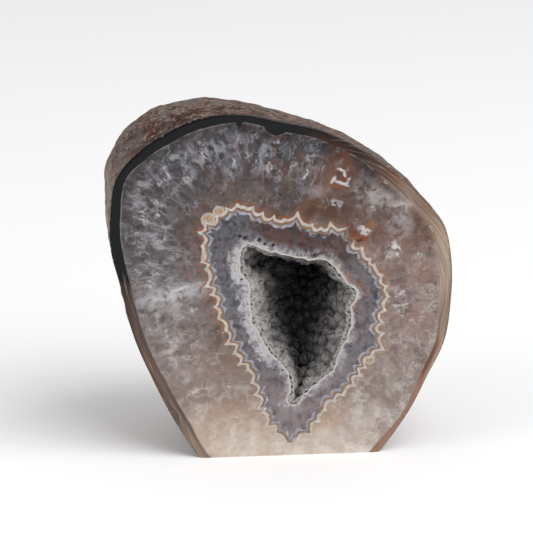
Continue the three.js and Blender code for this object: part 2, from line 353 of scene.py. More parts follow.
def soft_noise(p, size, seed):
    """Smooth noise from 0 to 1 whose swellings are about one size across."""
    q = np.asarray(p) / size
    cell = np.floor(q)
    t = smooth(q - cell)
    total = 0
    for corner in np.ndindex(2, 2, 2):
        weight = np.prod(np.where(np.array(corner) == 1, t, 1 - t), axis=-1)
        total = total + weight * lattice(cell + corner, seed)
    return total


def pits(p, size, seed):
    """Rounded pits: 0 at the middle of each and 1 between them."""
    q = np.asarray(p) / size
    cell = np.floor(q)
    nearest = np.full(len(q), 9.0)
    for shift in np.ndindex(3, 3, 3):
        near = cell + np.array(shift) - 1
        middle = near + np.stack([lattice(near, seed + k) for k in range(3)], -1)
        nearest = np.minimum(nearest, ((q - middle) ** 2).sum(-1))
    return np.clip(np.sqrt(nearest) / 0.8, 0, 1)


def swelling(p):
    """The broad lumps and dents of the rind, as in the solid."""
    return sum(high * np.sin(p / size + start).prod(1) for high, size, start in LUMPS) - LUMP_BIAS


def nodule_ring(shares, depth, inset):
    """One ring of the nodule at a depth behind the face, drawn in by a share of the bevel's width."""
    spreading = smooth(depth / WIDEST)
    closing = max(0.0, (depth - WIDEST) / (DEPTH - WIDEST))
    size = (1 - closing ** BACK_POWER) ** (1 / BACK_POWER)
    bevel = between(BEVEL, shares)
    out = outward(EDGE, shares)
    flat = loop(EDGE, shares) + out * (between(SPREAD, shares) * spreading - inset * bevel)[:, None]
    flat = flat - BACK_TIP
    flat = (flat + (unit(flat) * BACK_RADIUS - flat) * closing ** 2) * size + BACK_TIP
    y = depth + (1 - inset) * bevel * BEVEL_DROP * (1 - depth / DEPTH)
    p = np.stack([flat[:, 0], y, flat[:, 1]], 1)
    lump = LUMP_HEIGHT * smooth(depth / LUMP_FADE) * swelling(p)
    p[:, [0, 2]] += out * (lump * size)[:, None]
    p[:, 1] += lump * closing
    return p


def wall(shares, turn, grow):
    """Places on the wall of the hollow. Turn is 0 at the rim and 1 at the crease."""
    angle = np.asarray(turn, float) * math.pi / 2
    size = np.cos(angle) ** (2 / WALL_POWER)
    deep = np.sin(angle) ** (2 / WALL_POWER)
    p = loop(RIM, shares)
    top, bend, foot = CREASE
    t = np.clip((top[2] - p[:, 1]) / (top[2] - foot[2]), 0, 1)[:, None]
    far = top * (1 - t) ** 2 + bend * 2 * t * (1 - t) + foot * t ** 2
    p = p + outward(RIM, shares) * np.reshape(grow, (-1, 1))
    x = (p[:, 0] - far[:, 0]) * size + far[:, 0]
    z = (p[:, 1] - far[:, 2]) * size + far[:, 2]
    return np.stack([x, deep * (far[:, 1] + np.asarray(grow)), z], 1)


def find_place():
    """Where the outline's own x and y begin in the shared frame, from the corner of the crust."""
    back = wall(even_shares(RIM, CAD_COLUMNS), 0, CRUST - GAP)
    low = np.array(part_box("crystal_crust")[0]) / MM
    return np.array([low[0] - back[:, 0].min(), low[1], 0])


PLACE = find_place()


def saw_base(ring):
    """Lays the points of a ring that are under the base onto it, evenly between its two crossings."""
    under = np.flatnonzero(ring[:, 2] < 0)
    if len(under) == 0:
        return ring
    first, last = under[0], under[-1]
    ends = []
    for dry, wet in ((first - 1, first), (last + 1, last)):
        t = ring[dry, 2] / (ring[dry, 2] - ring[wet, 2])
        ends.append(ring[dry] + (ring[wet] - ring[dry]) * t)
    t = np.linspace(0, 1, len(under))[:, None]
    ring = ring.copy()
    ring[first:last + 1] = ends[0] * (1 - t) + ends[1] * t
    ring[first:last + 1, 2] = 0
    return ring


def face_rows(shares):
    """Rings of the polished face, from the crust to the edge, with rows along its natural lines."""
    inner = loop(RIM, shares) + outward(RIM, shares) * CRUST
    ring = loop(RING, shares)
    band = loop(BAND, shares)
    edge = saw_base(nodule_ring(shares, 0, 1))[:, [0, 2]]
    straight = smooth(1 - edge[:, 1] / STRAIGHT_BELOW)[:, None]
    to_band = np.linalg.norm(band - ring, axis=1)
    share = (to_band / (to_band + np.linalg.norm(edge - band, axis=1)))[:, None]
    share = share * (1 - straight) + straight * OUTER_ROWS / (OUTER_ROWS + BAND_ROWS)
    middle = band * (1 - straight) + (ring + (edge - ring) * share) * straight
    rows = [inner + (ring - inner) * t for t in np.arange(INNER_ROWS) / INNER_ROWS]
    rows += [ring + (middle - ring) * t for t in np.arange(OUTER_ROWS) / OUTER_ROWS]
    rows += [middle + (edge - middle) * t for t in np.arange(BAND_ROWS + 1) / BAND_ROWS]
    return [np.stack([row[:, 0], np.zeros(len(row)), row[:, 1]], 1) for row in rows]


def gap_to(points, curve):
    """How far each [x, z] is outside a closed line, and how far along the line its nearest place is."""
    ends = np.roll(curve, -1, axis=0)
    sides = ends - curve
    lengths = np.linalg.norm(sides, axis=1)
    starts = np.concatenate([[0], np.cumsum(lengths)[:-1]])
    gaps, runs = [], []
    for part in np.array_split(points, max(1, len(points) // 4000)):
        away = part[:, None] - curve[None]
        t = np.clip((away * sides).sum(2) / lengths ** 2, 0, 1)
        gap = np.linalg.norm(away - t[..., None] * sides, axis=2)
        best = gap.argmin(1)
        pick = np.arange(len(part)), best
        height = part[:, 1:]
        spans = (curve[:, 1] > height) != (ends[:, 1] > height)
        crossing = away[..., 0] < sides[:, 0] * away[..., 1] / np.where(sides[:, 1] == 0, 1, sides[:, 1])
        inside = (spans & crossing).sum(1) % 2 == 1
        gaps.append(np.where(inside, -gap[pick], gap[pick]))
        runs.append(starts[best] + t[pick] * lengths[best])
    return np.concatenate(gaps), np.concatenate(runs), lengths.sum()


def arches(run, around, step, power, seed):
    """Uneven arches side by side along a closed line: 0 at the middle of each, up to 1 at its ends."""
    rng = np.random.default_rng(seed)
    count = round(around / step)
    knots = (np.arange(count) + rng.uniform(-KNOT_STRAY, KNOT_STRAY, count)) * around / count % around
    order = np.argsort(knots)
    knots, heights = knots[order], rng.uniform(LOWEST_ARCH, 1, count)
    here = (np.searchsorted(knots, run % around, side="right") - 1) % count
    after = (here + 1) % count
    width = (knots[after] - knots[here]) % around
    t = ((run - knots[here]) % around) / width
    return np.where(t < 0.5, heights[here], heights[after]) * np.abs(2 * t - 1) ** power


def flow_place(shares, out):
    """A place that follows the growth of the stone, round it and outwards, or back into it on the rind."""
    turn = 2 * math.pi * shares
    return np.stack([np.cos(turn) * FLOW_RADIUS, np.sin(turn) * FLOW_RADIUS, out], 1)


def face_marks(p, shares):
    """The measures that the colours of the face follow, one value for each point.

    lines is the distance out from the inner side of the white fortification line, teeth from its
    outer side and beads from the bluish line inside it. band_gap is the distance out of the inner side
    of the outer band, rim_gap from the rim of the hollow, and flow is explained by flow_place.
    """
    marks = {name: np.full(len(p), FAR) for name in ("lines", "teeth", "beads", "band_gap", "rim_gap")}
    near = p[:, 1] < MARKS_DEPTH
    flat = p[near][:, [0, 2]]
    fine = np.arange(COLUMNS) / COLUMNS
    gap, run, around = gap_to(flat, loop(RING, fine))
    broad = arches(run, around, ARCH[0], 1.6, SEED)
    cusps, spikes = (arches(run, around, CUSP[0], power, SEED + 1) for power in (2.0, 4.5))
    beads = arches(run, around, BEAD[0], 2.0, SEED + 2)
    marks["lines"][near] = gap - CUSP[1] * cusps - ARCH[1] * broad + ARCH[1]
    marks["teeth"][near] = marks["lines"][near] - LINE_WIDTH - SPIKE_HEIGHT * spikes
    marks["beads"][near] = marks["lines"][near] + BEAD_GAP + BEAD[1] * (1 - beads)
    marks["band_gap"][near] = gap_to(flat, loop(BAND, fine))[0]
    marks["rim_gap"][near] = gap_to(flat, loop(RIM, fine))[0]
    marks["flow"] = flow_place(shares, np.where(near, marks["rim_gap"], p[:, 1]))
    return marks


def grid_faces(rings, columns):
    """Quads between rings of points, and a fan of triangles to a last point at each end."""
    i = np.arange(columns)
    after = (i + 1) % columns
    quads = []
    for row in range(rings - 1):
        a = row * columns
        quads.extend(np.stack([a + i, a + after, a + columns + after, a + columns + i], 1).tolist())
    front = rings * columns
    last = (rings - 1) * columns
    fans = [[front, n, m] for m, n in zip(i.tolist(), after.tolist())]
    fans += [[front + 1, last + m, last + n] for m, n in zip(i.tolist(), after.tolist())]
    return quads, fans


def closed_grid(rings, shares):
    """The points, quads, end fans and marks of a stack of rings that is closed at both ends."""
    points = np.vstack([rings.reshape(-1, 3), [rings[0].mean(0), rings[-1].mean(0)]])
    marks = face_marks(points, np.append(np.tile(shares, len(rings)), [0, 0]))
    return points, *grid_faces(len(rings), COLUMNS), marks


def grid_normals(rings):
    """Unit normals of a stack of rings, pointing out of the stone."""
    round_way = np.roll(rings, -1, axis=1) - np.roll(rings, 1, axis=1)
    return unit(np.cross(round_way, np.gradient(rings, axis=0)))


def creases(p, size, seed):
    """Creases about one size apart: 1 along their middles and 0 between them."""
    return 1 - np.abs(2 * soft_noise(p, size, seed) - 1)


def rind_relief(p, flow):
    """How deep the rind's wrinkles, grooves, grit and pits go, in millimetres. Its back has broad dents."""
    warped = p + 2.5 * (soft_noise(p, 9, 31)[:, None] - 0.5)
    wrinkles = creases(warped * [1, 1.6, 1], 3.4, 32)
    grooves = creases(flow / [5, 5, 1] + warped * 0.15, 1.1, 36)
    grit = soft_noise(p, 0.9, 33)
    holes = (1 - pits(warped, 3.1, 34)) ** 1.5 * smooth((soft_noise(p, 12, 35) - 0.35) / 0.3)
    dents = (1 - pits(warped, 7.5, 37)) ** 1.5 + 0.6 * creases(warped, 6.5, 38) ** 3
    front = smooth((34 - p[:, 1]) / 14)
    fine = 0.25 * wrinkles ** 2 + 0.25 * front * grooves ** 2 + 0.14 * grit + 0.4 * holes
    return fine + 0.7 * (1 - front) * dents


def keep_in(points, node):
    """Points in millimetres in the shared frame, kept inside the box of a node."""
    low, high = (np.array(corner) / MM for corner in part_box(node))
    return np.clip(points, low, high)


def make_object(name, points, faces, kinds, marks, materials):
    """A mesh object in the shared frame, with a material for each face and its marks as attributes."""
    mesh = bpy.data.meshes.new(name)
    mesh.from_pydata((points * MM).tolist(), [], faces)
    for material in materials:
        mesh.materials.append(material)
    mesh.polygons.foreach_set("material_index", np.asarray(kinds, np.int32))
    for mark, values in marks.items():
        kind, field = ("FLOAT", "value") if values.ndim == 1 else ("FLOAT_VECTOR", "vector")
        data = mesh.attributes.new(mark, kind, "POINT").data
        data.foreach_set(field, values.astype(np.float32).ravel())
    mesh.validate()
    made = bpy.data.objects.new(name, mesh)
    bpy.context.collection.objects.link(made)
    return made


POLISHED, RIND, SAWN = range(3)


def make_stone(materials):
    """The whole stone as one closed surface: the wall of the hollow, the face, the bevel and the rind."""
    shares = np.arange(COLUMNS) / COLUMNS
    turns = np.append(np.arange(1, HOLLOW_ROWS + 1) / (HOLLOW_ROWS + 1), LAST_RING)
    hollow = [wall(shares, turn, CRUST) for turn in turns[::-1]]
    face = face_rows(shares)
    rim_edge = nodule_ring(shares, 0, 1)
    rind_edge = nodule_ring(shares, 0, 0)
    bevel = [saw_base(rim_edge + (rind_edge - rim_edge) * t) for t in np.arange(1, BEVEL_ROWS) / BEVEL_ROWS]

    turns = np.append(np.arange(RIND_ROWS) / RIND_ROWS, LAST_RING)
    depths = DEPTH * np.sin(turns * math.pi / 2) ** ROW_EASE
    rind = np.array([nodule_ring(shares, depth, 0) for depth in depths])
    flow = flow_place(np.tile(shares, len(rind)), rind[..., 1].ravel() + GROOVE_SHIFT)
    relief = rind_relief(rind.reshape(-1, 3), flow).reshape(rind.shape[:2])
    relief *= smooth(depths / RELIEF_FADE)[:, None]
    rind = [saw_base(ring) for ring in rind - grid_normals(rind) * relief[..., None]]
    rings = np.array(hollow + face + bevel + rind)
    points, quads, fans, marks = closed_grid(rings, shares)

    polished_rows = len(hollow) + len(face) + BEVEL_ROWS - 1
    row_kinds = np.where(np.arange(len(rings) - 1) >= polished_rows, RIND, POLISHED)
    on_base = (points[np.array(quads)][..., 2] <= 1e-6).all(1)
    kinds = np.where(on_base, SAWN, np.repeat(row_kinds, COLUMNS))
    kinds = np.append(kinds, np.repeat([POLISHED, RIND], COLUMNS))

    skin = np.clip((np.arange(len(rings)) - len(hollow) - len(face) + 1) / BEVEL_ROWS, 0, 1)
    marks["skin"] = np.append(np.repeat(skin, COLUMNS), [0, 1])
    placed = keep_in(points + PLACE, "agate_stone")
    piece = make_object("polished_agate", placed, quads + fans, kinds, marks, materials)
    piece.data.polygons.foreach_set("use_smooth", np.ones(len(piece.data.polygons), bool))
    piece.data.set_sharp_from_angle(angle=math.radians(SHARP_ANGLE))
    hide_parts("agate_stone")
    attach(piece, "root")


def wall_normals(shares, turns):
    """Unit normals of the wall of the hollow, pointing into the hollow."""
    step = 1e-3
    round_way = wall(shares + step, turns, 0.0) - wall(shares - step, turns, 0.0)
    deep_way = wall(shares, np.minimum(turns + step, 0.999), 0.0) - wall(shares, turns - step, 0.0)
    return unit(np.cross(deep_way, round_way))


def scatter_clusters(rng):
    """Evenly spread places on the wall, with the direction into the hollow and a radius for each."""
    even = even_shares(RIM, 4000)
    shares = even[rng.integers(0, len(even), CLUSTER_TRIES)]
    turns = rng.uniform(*WALL_TURNS, CLUSTER_TRIES)
    at_rim = np.arange(CLUSTER_TRIES) < CLUSTER_TRIES // 3
    turns[at_rim] = rng.uniform(*RIM_TURNS, CLUSTER_TRIES // 3)
    places = wall(shares, turns, 0.0)
    kept = []
    for i, place in enumerate(places):
        spacing = RIM_SPACING if at_rim[i] else CLUSTER_SPACING
        if not kept or ((places[kept] - place) ** 2).sum(1).min() > spacing ** 2:
            kept.append(i)
    radii = rng.uniform(*CLUSTER_RADIUS, len(kept))
    radii[at_rim[kept]] *= RIM_SIZE
    return places[kept], wall_normals(shares[kept], turns[kept]), radii, shares[kept]


def round_axis(axis, reference, turns):
    """Directions at right angles to an axis, at some turns round it."""
    side = unit(np.cross(axis, reference))
    return side * np.cos(turns)[:, None] + np.cross(axis, side) * np.sin(turns)[:, None]


def crystal_directions(rng, normal, count):
    """Directions spread over the part of a ball that faces the hollow."""
    k = np.arange(count)
    up = 1 - (k + 0.5) / count * BALL_SHARE
    turn = k * math.pi * (3 - math.sqrt(5)) + rng.uniform(0, 2 * math.pi)
    flat = np.sqrt(np.maximum(0, 1 - up ** 2))
    out = round_axis(normal, [0.3, 0.5, 0.8], turn) * flat[:, None] + normal * up[:, None]
    return unit(out + rng.normal(0, STRAY, out.shape))


def add_crystal(points, faces, centre, out, length, width, turn):
    """A six-sided crystal with a pointed end, standing out of the middle of its cluster."""
    ring = round_axis(out, [0.21, 0.73, 0.41], turn + np.arange(CRYSTAL_SIDES) * 2 * math.pi / CRYSTAL_SIDES)
    first = len(points)
    second = first + CRYSTAL_SIDES
    points.extend(centre + out * length * FOOT_AT + ring * width * FOOT_WIDTH)
    points.extend(centre + out * (length - width * TIP_SHARE) + ring * width)
    points.append(centre + out * length)
    for k in range(CRYSTAL_SIDES):
        n = (k + 1) % CRYSTAL_SIDES
        faces.append([first + k, first + n, second + n, second + k])
        faces.append([second + k, second + n, second + CRYSTAL_SIDES])
    faces.append([first + k for k in reversed(range(CRYSTAL_SIDES))])


def make_crystals():
    """The points and faces of all the crystals, none of them in front of the face."""
    rng = np.random.default_rng(SEED)
    points, faces, shares = [], [], []
    for place, normal, radius, share in zip(*scatter_clusters(rng)):
        centre = place - normal * radius * SUNK
        count = round(CRYSTALS_EACH * min(1, (radius / CLUSTER_RADIUS[0]) ** 2))
        for out in crystal_directions(rng, normal, count):
            length = radius * rng.uniform(*LENGTHS)
            width = rng.uniform(*CRYSTAL_WIDTH)
            cut, turn = rng.uniform(*CUT_BACK), rng.uniform(0, 1)
            first = len(points)
            if (centre + out * length)[1] < cut:
                continue
            add_crystal(points, faces, centre, out, length, width, turn)
            for point in points[first:]:
                point[1] = max(point[1], cut)
        shares.extend([share] * (len(points) - len(shares)))
    return np.array(points), faces, shares


def make_cup(shares):
    """The closed cup that the crystals grow from, with its cut edge flush with the face."""
    p = loop(RIM, shares)
    place = np.stack([p[:, 0], np.zeros(len(p)), p[:, 1]], 1)
    wobble = sum(height * (soft_noise(place, size, seed) - 0.5)
                 for seed, (size, height) in enumerate(RIM_WOBBLE, 41))
    turns = np.append(np.arange(1, CUP_ROWS) / CUP_ROWS, LAST_RING)[::-1]
    inside = [wall(shares, turn, wobble * (1 - turn)) for turn in turns]
    edge = [wall(shares, 0, wobble + (CRUST - wobble) * t) for t in np.arange(RIM_ROWS) / (RIM_ROWS - 1)]
    outside = [wall(shares, turn, CRUST - GAP) for turn in (*CUP_BACK, LAST_RING)]
    rings = np.array(inside + edge + outside)
    points, quads, fans, marks = closed_grid(rings, shares)
    cut_rows = np.arange(len(rings) - 1) - len(inside)
    is_cut = (cut_rows >= 0) & (cut_rows < RIM_ROWS - 1)
    kinds = np.append(np.repeat(is_cut, COLUMNS).astype(int), np.zeros(len(fans), int))
    marks["rim_gap"] -= np.append(np.tile(wobble, len(rings)), [0, 0])
    return points, quads + fans, kinds, marks


def make_crust(materials):
    """The crust of crystals: its cup and its crystals, as one mesh."""
    cup, faces, kinds, marks = make_cup(np.arange(COLUMNS) / COLUMNS)
    crystals, crystal_faces, shares = make_crystals()
    shift = len(cup)
    faces += [[shift + v for v in face] for face in crystal_faces]
    kinds = np.append(kinds, np.zeros(len(crystal_faces), int))
    crystal_marks = face_marks(crystals, np.array(shares))
    marks = {name: np.concatenate([values, crystal_marks[name]]) for name, values in marks.items()}
    placed = keep_in(np.vstack([cup, crystals]) + PLACE, "agate_stone")
    piece = make_object("quartz_crust", placed, faces, kinds, marks, materials)
    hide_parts("crystal_crust")
    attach(piece, "root")


def tint(code):
    """A linear colour from the six hexadecimal digits of the colour as it looks in the scene's light."""
    parts = [int(code[k:k + 2], 16) / 255 for k in (0, 2, 4)]
    return (*(LIT * (p / 12.92 if p <= 0.04045 else ((p + 0.055) / 1.055) ** 2.4) for p in parts), 1.0)


class Shader:
    """Adds and joins the shader nodes of one material."""

    def __init__(self, name):
        self.material = bpy.data.materials.new(name)
        self.material.use_nodes = True
        self.tree = self.material.node_tree
        self.tree.nodes.clear()

    def add(self, kind, inputs, **settings):
        """A new node. Each input is a plain value or the output of another node."""
        node = self.tree.nodes.new("ShaderNode" + kind)
        for key, value in settings.items():
            setattr(node, key, value)
        for key, value in inputs.items():
            if isinstance(value, bpy.types.NodeSocket):
                self.tree.links.new(value, node.inputs[key])
            else:
                node.inputs[key].default_value = value
        return node

    def math(self, operation, *values):
        return self.add("Math", dict(enumerate(values)), operation=operation).outputs[0]

    def vector(self, operation, *values):
        return self.add("VectorMath", dict(enumerate(values)), operation=operation).outputs[0]

    def times(self, product, *others):
        """The product of all the values."""
        for value in others:
            product = self.math("MULTIPLY", product, value)
        return product

    def scaled(self, value, amount, start):
        """The start, with an amount of the value added to it."""
        return self.math("MULTIPLY_ADD", value, amount, start)

    def stirred(self, value, noise, amount):
        """The value, moved up and down by noise."""
        return self.scaled(self.math("SUBTRACT", noise, 0.5), amount, value)

    def mark(self, name, output="Fac"):
        return self.add("Attribute", {}, attribute_name=name).outputs[output]

    def here(self):
        """The place in millimetres, measured as the outlines are, and its x, y and z."""
        place = self.add("TexCoord", {}).outputs["Object"]
        scaled = self.add("VectorMath", {0: place, "Scale": 1 / MM}, operation="SCALE").outputs[0]
        here = self.vector("SUBTRACT", scaled, tuple(PLACE))
        return here, *self.add("SeparateXYZ", {0: here}).outputs

    def step(self, value, low, high):
        """Eases from 0 to 1 as the value goes from low to high."""
        inputs = {"Value": value, "From Min": low, "From Max": high}
        return self.add("MapRange", inputs, interpolation_type="SMOOTHSTEP").outputs[0]

    def within(self, value, low, high, soft):
        """1 between low and high, with soft sides."""
        rise = self.step(value, low - soft, low + soft)
        return self.times(rise, self.step(value, high + soft, high - soft))

    def placed(self, place, size, stretch=(1, 1, 1), shift=0):
        """The place, measured in units of one size that are drawn out along the stretch."""
        inputs = {"Vector": place, "Location": (shift,) * 3, "Scale": tuple(1 / (size * s) for s in stretch)}
        return self.add("Mapping", inputs).outputs[0]

    def noise(self, place, size, detail=3, stretch=(1, 1, 1), rough=0.5, shift=0, output="Fac"):
        """Noise whose swellings are about one size across, drawn out along the stretch."""
        inputs = {"Vector": self.placed(place, size, stretch, shift), "Scale": 1, "Detail": detail,
                  "Roughness": rough}
        return self.add("TexNoise", inputs).outputs[output]

    def patches(self, place, size, low, high, *detail, **settings):
        """Patches of noise, easing from 0 to 1 as the noise goes from low to high."""
        return self.step(self.noise(place, size, *detail, **settings), low, high)

    def ridges(self, place, size, power, *detail, **settings):
        """Thin lines where the noise passes its middle value, 1 along their tops."""
        value = self.scaled(self.noise(place, size, *detail, **settings), 2, -1)
        return self.math("POWER", self.math("SUBTRACT", 1, self.math("ABSOLUTE", value)), power)

    def cells(self, placed, **settings):
        """The outputs of a pattern of cells, one unit across."""
        return self.add("TexVoronoi", {"Vector": placed, "Scale": 1}, **settings).outputs

    def warp(self, place, size, amount):
        """The place, shifted this way and that by noise."""
        noise = self.vector("SUBTRACT", self.noise(place, size, output="Color"), (0.5, 0.5, 0.5))
        return self.vector("MULTIPLY_ADD", noise, (2 * amount,) * 3, place)

    def paint(self, under, over, *shares, blend="MIX"):
        """One colour over another, as far as all the shares let it. Over may be a colour's code."""
        over = tint(over) if isinstance(over, str) else over
        inputs = {0: self.times(*shares), 6: under, 7: over}
        return self.add("Mix", inputs, data_type="RGBA", blend_type=blend).outputs[2]

    def shade(self, under, code, *shares):
        """The colour under it, darkened by a plain colour."""
        return self.paint(under, code, *shares, blend="MULTIPLY")

    def coats(self, colour, *coats):
        """The colour under several coats, each given as its own colour and its shares."""
        for over, *shares in coats:
            colour = self.paint(colour, over, *shares)
        return colour

    def ramp(self, value, stops):
        """Colours by value, from the colour codes at some of its values."""
        low, high = min(stops), max(stops)
        share = self.add("MapRange", {"Value": value, "From Min": low, "From Max": high}).outputs[0]
        node = self.add("ValToRGB", {0: share})
        elements = node.color_ramp.elements
        elements[0].color, elements[1].color = tint(stops[low]), tint(stops[high])
        for at, code in stops.items():
            if low < at < high:
                elements.new((at - low) / (high - low)).color = tint(code)
        return node.outputs[0]

    def reach(self, place, x, z, wide, high, turn=0):
        """How far into an ellipse on the face: 1 at its middle, 1 - 1 / SPAN on its line, and down to 0."""
        inputs = {"Vector": place, "Location": (x, 0, z), "Rotation": (0, -math.radians(turn), 0),
                  "Scale": (wide * SPAN, ELLIPSE_DEPTH, high * SPAN)}
        local = self.add("Mapping", inputs, vector_type="TEXTURE").outputs[0]
        return self.add("TexGradient", {0: local}, gradient_type="SPHERICAL").outputs["Fac"]

    def inside(self, reach, out, core):
        """Eases from 0 at one distance from an ellipse's middle to 1 at a shorter one."""
        return self.step(reach, 1 - out / SPAN, 1 - core / SPAN)

    def spot(self, place, x, z, wide, high, turn, soft):
        """1 inside an ellipse on the face, with soft sides."""
        return self.inside(self.reach(place, x, z, wide, high, turn), 1 + soft, 1 - soft)

    def finish(self, colour, rough, bump=None, specular=0.5, glow=0):
        """The finished material. Glow is the share of light that spreads under its surface."""
        inputs = {"Base Color": colour, "Roughness": rough, "Specular IOR Level": specular}
        if glow:
            inputs |= {"Subsurface Weight": glow, "Subsurface Radius": (1, 1, 1)}
            inputs["Subsurface Scale"] = GLOW_DEPTH
        if bump is not None:
            inputs["Normal"] = bump
        shader = self.add("BsdfPrincipled", inputs)
        self.add("OutputMaterial", {0: shader.outputs[0]})
        return self.material

    def bump(self, height, distance, strength):
        inputs = {"Height": height, "Distance": distance * MM, "Strength": strength}
        return self.add("Bump", inputs).outputs[0]


def stains(s, colour, place, spots, *broken):
    """Spots of colour, each in its own place and broken up in the same way."""
    for *ellipse, code, strength in spots:
        colour = s.paint(colour, code, s.spot(place, *ellipse), *broken, strength)
    return colour


def fans(s, flat, size, shift):
    """Sheaves of needles from the middles of cells: needles, cell outlines, tone and way out."""
    placed = s.placed(flat, size, shift=shift)
    cells = s.cells(placed, voronoi_dimensions="2D")
    sides = s.cells(placed, voronoi_dimensions="2D", feature="DISTANCE_TO_EDGE")["Distance"]
    local = s.vector("SUBTRACT", placed, cells["Position"])
    around = s.vector("MULTIPLY_ADD", s.vector("NORMALIZE", local), (4.5, 4.5, 4.5), local)
    rays = s.noise(s.vector("MULTIPLY_ADD", cells["Color"], (40, 40, 40), around), 1, 4, rough=0.62)
    tone = s.add("SeparateXYZ", {0: cells["Color"]}).outputs[0]
    return rays, sides, tone, cells["Distance"]


def needle_sheaves(s, here, x, z):
    """Two sizes of sheaves, and the place combed along their needles."""
    flat = s.add("CombineXYZ", {0: x, 1: z, 2: 0}).outputs[0]
    sheaves = [fans(s, s.warp(flat, size * 0.6, size * 0.17), size, shift) for size, shift, *_ in SHEAVES]
    rays = s.math("SUBTRACT", s.scaled(sheaves[1][0], 0.6, sheaves[0][0]), 0.8)
    ragged = s.warp(s.warp(here, 2.8, 1.2), 0.8, 0.4)
    return sheaves, rays, s.vector("ADD", ragged, s.vector("MULTIPLY", rays, (5, 5, 5)))


def quartz(s, here, x, z):
    """The plain colours of the quartz between the outer band and the fortification lines."""
    height = s.stirred(z, s.noise(here, 20), 26)
    right = s.ramp(height, {0: "e2d3c8", 10: "bbaca2", 19: "918179", 36: "a18d86", 55: "a48e86", 68: "9d877e",
                            80: "73605a", 92: "433c3a", 104: "353131"})
    left = s.ramp(height, {0: "d8c7b9", 9: "c2b0a2", 18: "91807a", 36: "8c7d78", 50: "8d8380", 62: "706b6c",
                           80: "625b5a", 95: "4f4a4c", 108: "434143"})
    milky = s.noise(s.warp(here, 6, 3), 5, 4, rough=0.6, shift=33)
    halo = s.times(s.step(s.mark("lines"), 15, 3), s.patches(here, 5, 0.36, 0.56, 4, rough=0.6, shift=21))
    warm = s.patches(s.warp(here, 8, 3), 8, 0.44, 0.62, 4, shift=11)
    return s.coats(
        left,
        (right, s.step(x, -12, 18)),
        ("ece3da", s.step(milky, 0.46, 0.66), s.step(z, 40, 12), 0.4),
        ("a58b77", s.step(milky, 0.5, 0.34), s.step(z, 45, 14), 0.3),
        ("7d6459", halo, s.step(x, 4, -8), s.step(z, 22, 50), 0.65),
        ("6a4638", warm, s.step(x, -46, -8), s.step(z, 22, 62), 0.5))


def feathers(s, here, flow, band_gap, colour, x, z, sheaves, rays, combed):
    """The crystals of the quartz with its stains: sheaves of needles, outlines, pale strokes, flecks."""
    pale = s.ramp(z, {0: "f0e8df", 25: "d8cfca", 50: "c4bfc0", 80: "b0b0b8", 110: "9fa1ad"})
    strong = s.scaled(s.step(z, 8, 48), 0.75, 0.25)
    patch = s.patches(here, 6, 0.36, 0.64, shift=5)
    near = s.times(s.within(band_gap, -15, -2.5, 4), s.step(x, 30, -10))
    amount = s.times(s.scaled(near, 0.75, 0.24), s.scaled(patch, 0.65, 0.35), strong)
    for (ray, sides, tone, gap), (_, shift, dark, light) in zip(sheaves, SHEAVES):
        colour = s.shade(colour, "8c7f7a", tone, strong, dark * 0.6)
        colour = s.shade(colour, "80767a", s.step(ray, 0.54, 0.32), strong, dark * 0.9)
        outline = s.times(s.step(sides, 0.06, 0), s.patches(here, 5, 0.46, 0.62, 2, shift=shift))
        spread = s.times(s.step(ray, 0.42, 0.8), s.step(gap, 0.1, 0.6))
        colour = s.coats(colour, (pale, outline, s.scaled(amount, 0.45, 0.04)), (pale, spread, amount, light))
    streaks = s.patches(s.warp(flow, 6, 3), 2.4, 0.48, 0.74, 2, stretch=(1, 1, 3), shift=41)
    short = s.ridges(s.warp(flow, 2.5, 1.6), 1.7, 12, 2, stretch=(1, 1, 2.6), rough=0.6, shift=15)
    short = s.times(short, s.patches(here, 4, 0.52, 0.62, shift=17))
    colour = s.coats(colour, (pale, streaks, near, strong, 0.6), ("cfced4", short, amount))
    colour = stains(s, colour, combed, STAINS, s.scaled(s.step(rays, 0.2, -0.2), 0.5, 0.55))
    colour = stains(s, colour, combed, CLOUDS, s.step(rays, -0.22, 0.12))
    fringe = s.scaled(s.within(band_gap, -5.5, 0, 2.5), 0.3, 0.22)
    lower_right = s.times(s.step(x, 8, 20), s.step(z, 70, 52))
    lace = s.ridges(s.warp(here, 2.6, 2), 2.4, 14, rough=0.6, shift=51)
    wisps = s.ridges(s.warp(here, 3, 2.2), 3.4, 24, rough=0.55, shift=23)
    fleck = s.patches(here, 0.6, 0.69, 0.76, 2, rough=0.6)
    return s.coats(
        colour,
        ("dcd8da", fringe, lower_right, lace, s.patches(here, 5, 0.42, 0.56, shift=53)),
        (pale, wisps, s.patches(here, 5, 0.5, 0.62, shift=27), 0.5),
        ("d4d2d6", fleck, s.scaled(patch, 0.5, 0.1)))


def eyes(s, here, colour):
    """Round eyes of banded quartz."""
    ragged = s.warp(here, 1.1, 0.8)
    broken = s.patches(here, 0.9, 0.4, 0.56, shift=29)
    for eye in EYES:
        out = s.reach(ragged, *eye)
        colour = s.coats(
            colour,
            ("c2bebc", s.inside(out, 1.1, 0.85), broken, 0.8),
            ("7f7571", s.inside(out, 0.8, 0.5), 0.65),
            ("b5b0ad", s.inside(out, 0.4, 0.2), broken, 0.7))
    return colour


